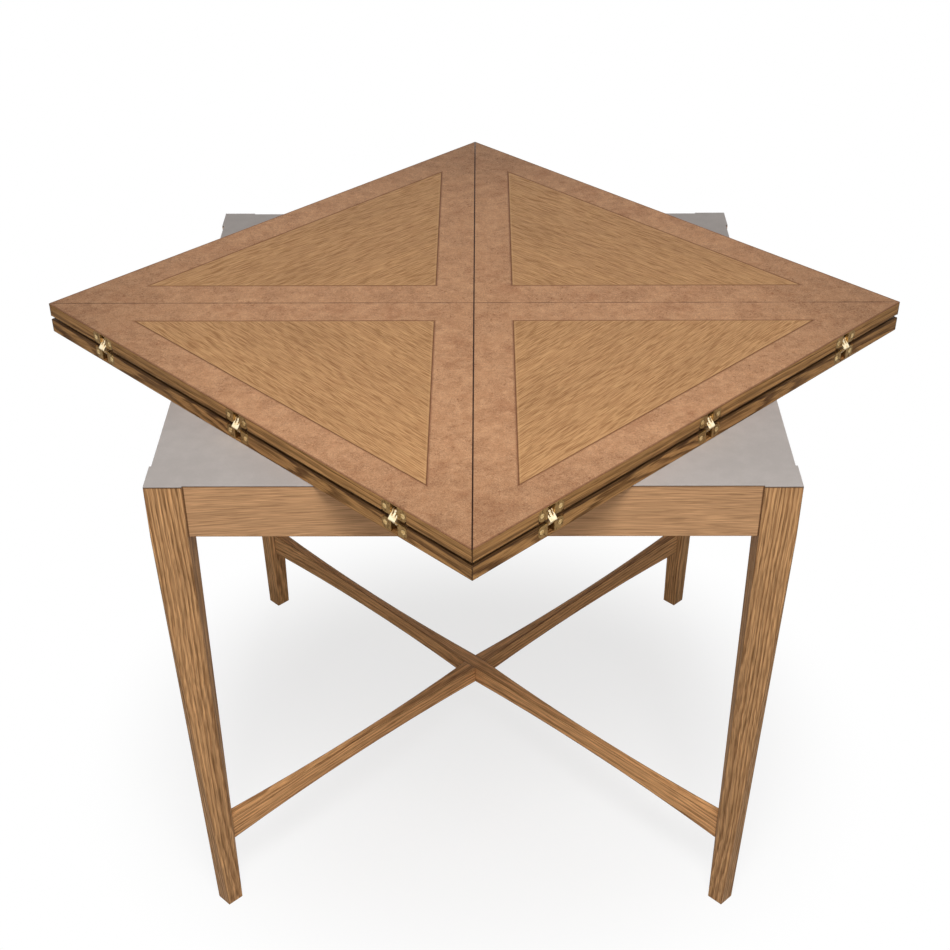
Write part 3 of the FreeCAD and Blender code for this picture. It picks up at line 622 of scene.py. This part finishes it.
for side, lean in LEANS.items():
    material, shader, start = finish("field_veneer_" + side, specular=0.1)
    x, y, z = parts(own_place(start))
    inward, along = from_outside(x, y), along_outside(x, y)
    turn = math.radians(lean)
    grain = joined(inward * math.cos(turn) + along * math.sin(turn), z,
                   along * math.cos(turn) - inward * math.sin(turn))
    flecks = streaks(grain, *PALE_FLECKS, 1.0)
    pores = fade(parts(streaks(grain, *DARK_FLECKS, 1.0, output=1))[1], 0.52, 0.62)
    long_streaks = streaks(grain, *LONG_STREAKS)
    bands = streaks(grain, *SOFT_BANDS) - 0.5
    clouds = streaks(grain, *BROAD_CLOUDS) - 0.5
    colour = blend(fade(flecks, 0.4, 0.6) * 0.85, FIELD_GOLD, FIELD_PALE)
    colour = blend(fade(long_streaks, 0.5, 0.72) * 0.16, colour, FIELD_DARK)
    colour = blend(pores * 0.48, colour, FIELD_DARK)
    colour = dimmed(colour, 1 + clouds * 0.2 + bands * 0.16)
    inside = edge_distance(x, y)
    # painted highlight: a paler line just inside the scored line
    painted_rim_highlight = fade(inside, FIELD_EDGE + RIM_PALE, FIELD_EDGE + RIM_DARK)
    colour = blend(painted_rim_highlight * 0.35, colour, FIELD_PALE)
    dark_rim = fade(inside, FIELD_EDGE + RIM_DARK, FIELD_EDGE)
    colour = blend(dark_rim * 0.6, colour, SCORE)
    colour.into(shader, "Base Color")
    (0.47 + 0.15 * pores).into(shader, "Roughness")
    bump(shader, flecks * 0.5 - pores, 0.25, 0.0003)
    dress(material, "leaf_field_" + side)
print("fields dressed:", len(LEANS))

# %% [markdown]
# ## Veneer of the borders
# A band of pinkish burr veneer frames each field. Burr has no straight grain, so drawn-out noise won't do:
# it has soft clouds, small red-brown specks, and fine curled lines, which are the places where a twisted
# noise passes through its middle value. It is drawn darker along the scored line, at the outer edge and
# towards the corners. The seam from front to back is open and the one from left to right is closed, and
# both are painted dark as painted shade inside them, the closed one faint.

# %% Dress the borders
BAND_PALE, BAND_PINK, BAND_RED = display(206, 158, 119), display(180, 132, 95), display(142, 91, 60)
SEAM_SHADE = display(40, 16, 4)
# scale, detail and twist of each noise
MOTTLE, CLOUDY, CURLED = (75, 6.0, 0.5), (20, 4.0, 0.6), (74, 2.0, 2.0)
SPECKLED, LIVELY, DUSTY = (330, 3.0, 0.4), (34, 2.0, 0.3), (760, 2.0, 0.0)
# where each darker place begins, and where it is full; the seams are painted shade
CORNER_DARK, OUTSIDE_DARK = (0.3, 0.56), (0.0026, 0.0008)
SCORE_DARK = (BORDER - 0.0026, BORDER - 0.0002)
FRONT_SEAM, CROSS_SEAM = (0.0012, 0.0006), (0.0016, 0.0006)
SEAM_BREAKS = (14, 14)


def burr(place, scale, detail, twist):
    return place.node("ShaderNodeTexNoise", (), {"Vector": place, "Scale": scale, "Detail": detail,
                                                 "Roughness": 0.65, "Distortion": twist})


material, shader, start = finish("border_veneer", specular=0.1)
place = own_place(start)
x, y, z = parts(place)
mottle = burr(place, *MOTTLE)
clouds = burr(place, *CLOUDY) - 0.5
curls = fade(abs(burr(place, *CURLED) - 0.5), 0.07, 0.012)
specks = fade(burr(place, *SPECKLED), 0.56, 0.68)
lively = fade(burr(place, *LIVELY), 0.4, 0.62)
dust = burr(place, *DUSTY) - 0.5
colour = blend(fade(mottle, 0.2, 0.8), BAND_PINK, BAND_PALE)
colour = blend(fade(clouds, 0.0, 0.22) * 0.4, colour, BAND_RED)
colour = blend((curls * 0.3 + specks * 0.6) * (0.35 + 0.65 * lively), colour, BAND_RED)
shade = 1.04 + clouds * 0.3 + dust * 1.1 - lively * 0.07
colour = dimmed(colour, shade - fade(along_seam(x, y), *CORNER_DARK) * 0.26)
scored = fade(edge_distance(x, y), *SCORE_DARK) * 0.5
outside = fade(from_outside(x, y), *OUTSIDE_DARK) * 0.6
colour = blend(larger(scored, outside), colour, SCORE)
# painted shade in the seams: the open seam from front to back, and the closed cross seam faint and broken
broken = 0.35 + 0.65 * fade(streaks(place, *SEAM_BREAKS), 0.35, 0.65)
cross_seam_shade = fade(abs(y), *CROSS_SEAM) * broken * 0.6
colour = blend(larger(fade(abs(x), *FRONT_SEAM), cross_seam_shade), colour, SEAM_SHADE)
colour.into(shader, "Base Color")
(0.5 + 0.12 * specks).into(shader, "Roughness")
bump(shader, mottle * 0.4 - specks, 0.2, 0.0003)
borders = ["leaf_border_" + side for side in SIDES]
dress(material, *borders)
print("borders dressed:", len(borders))

# %% [markdown]
# ## Veneer of the playing sides
# The board and the leaves have cores that are veneered on the playing side, where a band of them frames
# each cloth when the table is open. It is plain wood with the grain along the edges, so the grain of the
# strips serves again. The floor of the scored line belongs to the core as well, and is drawn dark.

# %% Dress the cores
LINING_TONES = display(186, 140, 95), display(138, 97, 62), SCORE
LINING_RING = 0.0034
GROOVE = (0.001, 0.0007)


def groove(start):
    x, y, z = parts(own_place(start))
    return fade(abs(edge_distance(x, y) - BORDER - SCORED / 2), *GROOVE)


cores = ["board_core"] + ["leaf_core_" + side for side in SIDES]
dress(wooden("lining_veneer", strip_grain(heart_in=0.09, heart_low=0.6), LINING_TONES, LINING_RING,
             wobble=8, contrast=0.6, stain_and_shade=groove, edge=0.0), *cores)
print("cores dressed:", len(cores))

# %% [markdown]
# ## Wood that is seldom seen
# The deck under the cloth is pressed wood chips. Noise would look like cloud, while Voronoi cells have the
# flat faces and sharp borders of chips. The blocks that stiffen the corners and the peg that stops the
# swivel are plain pale hardwood, made with the same rings as the frame.

# %% Dress the deck, the blocks and the peg
CHIP_DARK, CHIP_PALE = display(176, 142, 102), display(206, 176, 134)
CHIPS, CHIP_DUST = (230, 230, 520), (900, 900)
BLOCK_TONES = display(206, 172, 130), display(176, 138, 96), display(120, 86, 56)
BLOCK_RING, PEG_RING = 0.004, 0.0016

material, shader, start = finish("pressed_board", roughness=0.75, specular=0.15)
place = own_place(start)
chips = start.node("ShaderNodeTexVoronoi", (), {"Vector": vector("MULTIPLY", place, CHIPS),
                                                 "Scale": 1.0, "Randomness": 1.0}, "Color")
chip_tone = parts(chips)[0]
dust = streaks(place, *CHIP_DUST) - 0.5
colour = dimmed(blend(chip_tone, CHIP_DARK, CHIP_PALE), 1 + dust * 0.4)
colour.into(shader, "Base Color")
(0.7 + 0.15 * chip_tone).into(shader, "Roughness")
bump(shader, chip_tone + dust, 0.3, 0.0003)
dress(material, "deck")
dress(wooden("block_hardwood", stick_grain((0.02, 0.01, 1), (0.06, 0.03, 0)), BLOCK_TONES, BLOCK_RING),
      "corner_blocks")
dress(wooden("peg_hardwood", stick_grain((0, 0, 1), (0.02, -0.1, 0)), BLOCK_TONES, PEG_RING), "stop_peg")
print("materials so far:", len(bpy.data.materials))

# %% [markdown]
# ## Brass and steel
# The link hinges are solid brass. The plates let into the edges and the links that bridge the gap are the
# same brass, but the plates are painted dark, as a painted reflection of the dim room, and the links pale,
# as a painted reflection of the light above them. The pivot inside the top is plain zinc-coated steel. One
# even colour would look like plastic, but metal needs little change of colour: fine brushing, a few dull
# spots, edges painted brighter as a highlight, and a roughness that varies.

# %% Dress the metal
METAL_EDGE = 0.0006
BRUSH_DRAWN = 0.12
SPOTS = (260, 260)
# bright and dull colour, roughness, brushed lines to the metre, and the pieces
METALS = {
    # links painted pale and plates painted dark: painted reflections of the light above and of the dim room
    "link_brass": (display(252, 236, 200), display(236, 208, 156), 0.34, 1500,
                   ["hinge_links_" + side for side in SIDES]),
    "plate_brass_painted_dim": (display(168, 134, 84), display(100, 73, 42), 0.42, 1200,
                    ["board_hinge_plates"] + ["leaf_hinge_plates_" + side for side in SIDES]),
    "screw_brass": (display(240, 212, 154), display(196, 158, 98), 0.36, 1500,
                    ["board_hinge_screws"] + ["leaf_hinge_screws_" + side for side in SIDES]),
    "bush_brass": (display(214, 178, 110), display(168, 130, 74), 0.32, 900, ["pivot_bush"]),
    "zinc_steel": (display(196, 198, 202), display(150, 152, 156), 0.36, 900,
                   ["corner_screws", "pivot_stud", "pivot_screws", "pivot_washer", "pivot_nut"]),
}
for name, (bright, dull, roughness, brushed, pieces) in METALS.items():
    material, shader, start = finish(name, roughness=roughness, specular=0.5, metallic=1.0)
    place = own_place(start)
    lines = streaks(place, brushed, brushed * BRUSH_DRAWN)
    spots = fade(streaks(place, *SPOTS, 3.0, 0.6), 0.46, 0.7)
    round_edge, near_edge = arris(start, METAL_EDGE)
    # painted highlight: the edges are made brighter
    colour = blend(near_edge * 0.6, blend(spots, bright, dull), bright)
    colour.into(shader, "Base Color")
    (roughness - 0.08 + 0.16 * lines + 0.14 * spots).into(shader, "Roughness")
    bump(shader, lines, 0.15, 0.0001, round_edge)
    dress(material, *pieces)
print("metal finishes:", len(METALS))

# %% [markdown]
# ## Grey cloth
# A thin felted cloth is stretched and glued over the whole base, right out to the edge of the frame. The
# same cloth lies in the board and in the inner sides of the leaves, where the cards are played when the
# leaves are folded out. Felt has no weave to see: it is a mat of short hairs, a little lighter where the
# nap has been brushed one way. Its cut edges, the faces that don't look up, are painted darker as painted
# shade. Real hairs could be grown on it, but they would be too fine to see, so noise stands for them, and
# the sheen of the shader gives the pale rim they make.

# %% Felt
FELT_PALE, FELT_GREY, FELT_SIDE_SHADE = display(184, 176, 171), display(176, 168, 163), display(104, 97, 92)
HAIRS, NAP, BRUSHED = (1500, 1500), (55, 55), (9, 9)


def felt(name):
    material, shader, start = finish(name, roughness=0.9, specular=0.1, sheen=0.25)
    place = own_place(start)
    hairs = streaks(place, *HAIRS, 3.0, 0.7)
    nap = streaks(place, *NAP, 3.0, 0.6)
    brushed = streaks(place, *BRUSHED)
    colour = blend(fade(nap * 0.5 + brushed * 0.5, 0.35, 0.65), FELT_GREY, FELT_PALE)
    colour = dimmed(colour, 1 + (hairs - 0.5) * 0.3)
    # painted shade: faces that don't look up are darkened
    upward = abs(parts(start.node("ShaderNodeTexCoord", (), (), "Normal"))[2])
    colour = blend(fade(upward, 0.7, 0.2) * 0.6, colour, FELT_SIDE_SHADE)
    colour.into(shader, "Base Color")
    (0.82 + 0.15 * hairs).into(shader, "Roughness")
    bump(shader, hairs + nap * 0.5, 0.4, 0.0004)
    return material


base_felt, play_felt = felt("base_felt"), felt("play_felt")
print("felts:", base_felt.name, play_felt.name)

# %% [markdown]
# ## Cutting the base cloth
# The cloth over the base follows the legs, which stand a little proud of the aprons. Its outline could be
# drawn point by point, but it is cut as by a knife: it starts as a plane of the full width, bisect cuts it
# along the inner sides of the legs and along the faces of the aprons, and the narrow faces between the
# legs are deleted.

# %% Cut the base cloth
APRON_BACK = 0.0025
LEG_INNER, APRON_FACE = HALF - LEG_WIDTH, HALF - APRON_BACK
ACROSS = ((1, 0, 0), (-1, 0, 0), (0, 1, 0), (0, -1, 0))


def new_plane(name, width, depth, place):
    bpy.ops.object.select_all(action="DESELECT")
    bpy.ops.mesh.primitive_plane_add(size=1, location=place)
    piece = bpy.context.object
    piece.name = piece.data.name = name
    piece.scale = (width, depth, 1)
    bpy.ops.object.transform_apply(location=True, rotation=True, scale=True)
    return piece


def cut_line(point, direction, drop=False):
    bpy.ops.mesh.select_all(action="SELECT")
    bpy.ops.mesh.bisect(plane_co=point, plane_no=direction, clear_outer=drop)


def only_faces(piece, wanted):
    """In edit mode, select the faces whose centres pass a test."""
    bpy.ops.object.mode_set(mode="OBJECT")
    for face in piece.data.polygons:
        face.select = wanted(face.center)
    bpy.ops.object.mode_set(mode="EDIT")


def before_apron(centre):
    """Past the face of an apron, and between two legs."""
    near, far = sorted((abs(centre.x), abs(centre.y)))
    return far > APRON_FACE and near < LEG_INNER


low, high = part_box("base_cover")
base_cloth = new_plane("base_cloth", high[0] - low[0], high[1] - low[1], (0, 0, low[2]))
bpy.ops.object.mode_set(mode="EDIT")
for reach in (LEG_INNER, APRON_FACE):
    for direction in ACROSS:
        cut_line(Vector(direction) * reach + Vector((0, 0, low[2])), direction)
bpy.ops.mesh.select_mode(type="FACE")
only_faces(base_cloth, before_apron)
bpy.ops.mesh.delete(type="FACE")
bpy.ops.mesh.select_all(action="SELECT")
bpy.ops.mesh.dissolve_limited(angle_limit=math.radians(1))
bpy.ops.object.mode_set(mode="OBJECT")
print("corners of the base cloth:", len(base_cloth.data.vertices))

# %% [markdown]
# ## Thickness, holes and a soft edge
# The cloth is thick enough to show a soft cut edge, and it has a hole for the pivot and one for the peg. A
# Solidify modifier could give the thickness, but an extrude keeps the lower side exactly on the deck. Two
# cylinders punch the holes, and a Bevel modifier softens the edges. The cloth then rides on the base and
# stands for the plain solid that the CAD model has there.

# %% Finish the base cloth
PIVOT_HOLE, PEG_HOLE = 0.0202, 0.0042
PEG_PLACE = -0.12
PUNCH_LENGTH = 0.02
BASE_SOFT = 0.0005


def thicken(piece, thickness):
    """Raise the sheet by its thickness and leave a closed skin."""
    bpy.ops.object.mode_set(mode="EDIT")
    bpy.ops.mesh.select_mode(type="FACE")
    bpy.ops.mesh.select_all(action="SELECT")
    bpy.ops.mesh.extrude_region_move(TRANSFORM_OT_translate={"value": (0, 0, thickness)})
    bpy.ops.mesh.select_all(action="SELECT")
    bpy.ops.mesh.normals_make_consistent(inside=False)
    bpy.ops.object.mode_set(mode="OBJECT")


def pierce(piece, radius, place):
    bpy.ops.object.select_all(action="DESELECT")
    bpy.ops.mesh.primitive_cylinder_add(vertices=48, radius=radius, depth=PUNCH_LENGTH, location=place)
    punch = bpy.context.object
    bpy.context.view_layer.objects.active = piece
    hole = piece.modifiers.new("hole", "BOOLEAN")
    hole.object = punch
    bpy.ops.object.modifier_apply(modifier=hole.name)
    bpy.data.objects.remove(punch, do_unlink=True)


def soft_edge(piece, width):
    bpy.context.view_layer.objects.active = piece
    edge = piece.modifiers.new("soft_edge", "BEVEL")
    edge.width = width
    edge.segments = 3
    edge.limit_method = "ANGLE"
    bpy.ops.object.modifier_apply(modifier=edge.name)
    bpy.ops.object.shade_smooth_by_angle(angle=math.radians(40))


thicken(base_cloth, high[2] - low[2])
pierce(base_cloth, PIVOT_HOLE, (0, 0, low[2]))
pierce(base_cloth, PEG_HOLE, (0, PEG_PLACE, low[2]))
soft_edge(base_cloth, BASE_SOFT)
base_cloth.data.materials.append(base_felt)
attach(base_cloth, "base")
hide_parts("base_cover")
print("base cloth faces:", len(base_cloth.data.polygons))

# %% [markdown]
# ## Playing cloth of the board
# The board's cloth is a plain square let into the upper side of the board, and it stands at an eighth of a
# turn to the base, as the board does. Turning the object would be enough for a picture, but patterns are
# laid in Object coordinates, so the turn is applied to the mesh and the object itself stays unturned.

# %% Cut the board's cloth
PLAY_SOFT = 0.0003

low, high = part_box("board_baize")
width = (high[0] - low[0]) * DIAGONAL
board_cloth = new_plane("board_cloth", width, width, (0, 0, low[2]))
board_cloth.rotation_euler.z = math.pi / 4
bpy.ops.object.transform_apply(location=False, rotation=True, scale=False)
thicken(board_cloth, high[2] - low[2])
soft_edge(board_cloth, PLAY_SOFT)
board_cloth.data.materials.append(play_felt)
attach(board_cloth, "top")
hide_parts("board_baize")
print("board cloth side in mm:", round(1000 * width, 1))

# %% [markdown]
# ## Playing cloths of the leaves
# A leaf's cloth is half a square. It could be a triangle drawn by its corners, but bisect cuts one from a
# square along the diagonal just as well. It is made once, in the front left leaf, and the other three are
# copies with meshes of their own, each a quarter turn further round.

# %% Cut the leaves' cloths
low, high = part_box("leaf_baize_front_left")
width = high[0] - low[0]
middle = ((low[0] + high[0]) / 2, (low[1] + high[1]) / 2, low[2])
first = new_plane("leaf_cloth_front_left", width, width, middle)
bpy.ops.object.mode_set(mode="EDIT")
cut_line((low[0], high[1], low[2]), (-1, -1, 0), drop=True)
bpy.ops.object.mode_set(mode="OBJECT")
thicken(first, high[2] - low[2])
soft_edge(first, PLAY_SOFT)
first.data.materials.append(play_felt)
leaf_cloths = [first]
for number, side in enumerate(SIDES[1:], 1):
    piece = first.copy()
    piece.data = first.data.copy()
    piece.name = piece.data.name = "leaf_cloth_" + side
    bpy.context.collection.objects.link(piece)
    bpy.ops.object.select_all(action="DESELECT")
    piece.select_set(True)
    bpy.context.view_layer.objects.active = piece
    piece.rotation_euler.z = number * math.pi / 2
    bpy.ops.object.transform_apply(location=False, rotation=True, scale=False)
    leaf_cloths.append(piece)
for side, piece in zip(SIDES, leaf_cloths):
    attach(piece, "leaf_" + side)
    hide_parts("leaf_baize_" + side)
    "leaf_core_" + side
print("leaf cloths:", len(leaf_cloths), "side in mm:", round(1000 * width, 1))
